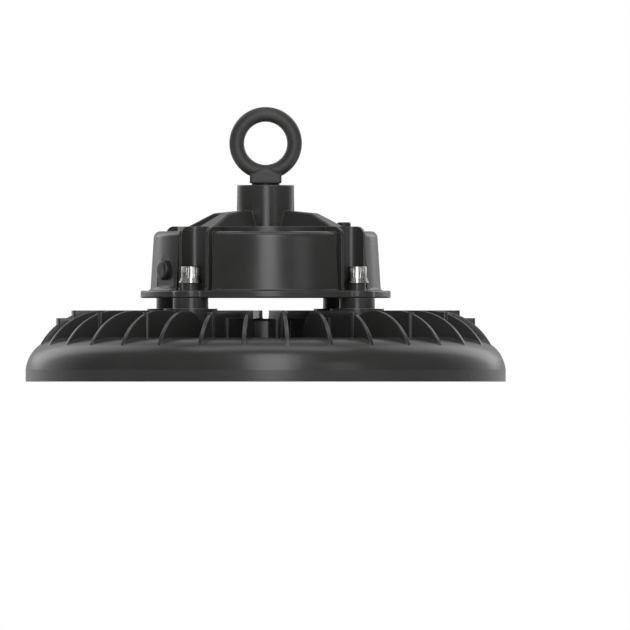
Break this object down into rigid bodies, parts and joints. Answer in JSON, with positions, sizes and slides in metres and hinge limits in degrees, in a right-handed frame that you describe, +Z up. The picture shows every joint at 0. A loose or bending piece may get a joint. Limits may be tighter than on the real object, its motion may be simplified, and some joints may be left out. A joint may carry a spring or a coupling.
{
  "type": "high bay light",
  "caption": "Round pendant high bay light: a finned cast heat sink with a smooth rim, a driver housing on legs above it, and a lifting ring on top.",
  "frame": {"origin": "centre of the rim's lower edge, on which the light stands", "axes": "+Z up along the light's axis, the lifting ring lies in the XZ plane, and -Y is the side that the picture shows"},
  "size_m": [0.25, 0.25, 0.143],
  "materials": {
    "black_paint": "satin, fine powder coat",
    "ring_paint": "satin paint on forged steel",
    "zinc": "zinc plated",
    "black_plastic": "fine texture",
    "black_rubber": "matte",
    "black_oxide": "blackened steel",
    "grey_rubber": "matte silicone",
    "sheet_aluminium": "rolled",
    "green_board": "solder mask",
    "white_board": "white mask on aluminium",
    "yellow_chip": "phosphor",
    "clear_lens": "clear moulded polycarbonate",
    "ferrite": "ground",
    "yellow_tape": "polyester tape",
    "copper": "enamelled wire",
    "can_sleeve": "shrink sleeve",
    "film_box": "moulded",
    "block_plastic": "moulded",
    "lead_skin": "silicone insulation",
    "brass": "turned"
  },
  "bodies": {
    "root": {"heat_sink": "black_paint", "driver_housing": "black_paint", "lifting_ring": "ring_paint", "ring_washer": "black_rubber", "locking_screw": "black_oxide", "housing_screws": "zinc", "spring_washers": "zinc", "flat_washers": "zinc", "vent_plug": "black_plastic", "vent_seal": "black_rubber", "blanking_plug": "black_plastic", "cable_gland_body": "black_plastic", "cable_gland_nut": "black_plastic", "cable_gland_seal": "black_rubber", "base_cover": "sheet_aluminium", "base_gasket": "grey_rubber", "base_screws": "zinc", "board_spacers": "brass", "driver_board": "green_board", "board_screws": "zinc", "transformer_core": "ferrite", "transformer_coil": "yellow_tape", "filter_choke": "copper", "bulk_capacitors": "can_sleeve", "film_capacitor": "film_box", "terminal_block": "block_plastic", "heat_spreader": "sheet_aluminium", "power_transistors": "black_plastic", "lead_sleeve": "black_rubber", "output_leads": "lead_skin", "thermal_pad": "grey_rubber", "led_board": "white_board", "led_chips": "yellow_chip", "led_board_screws": "zinc", "lens_plate": "clear_lens", "lens_gasket": "grey_rubber", "lens_ring": "black_paint", "lens_screws": "zinc"}
  },
  "joints": []
}
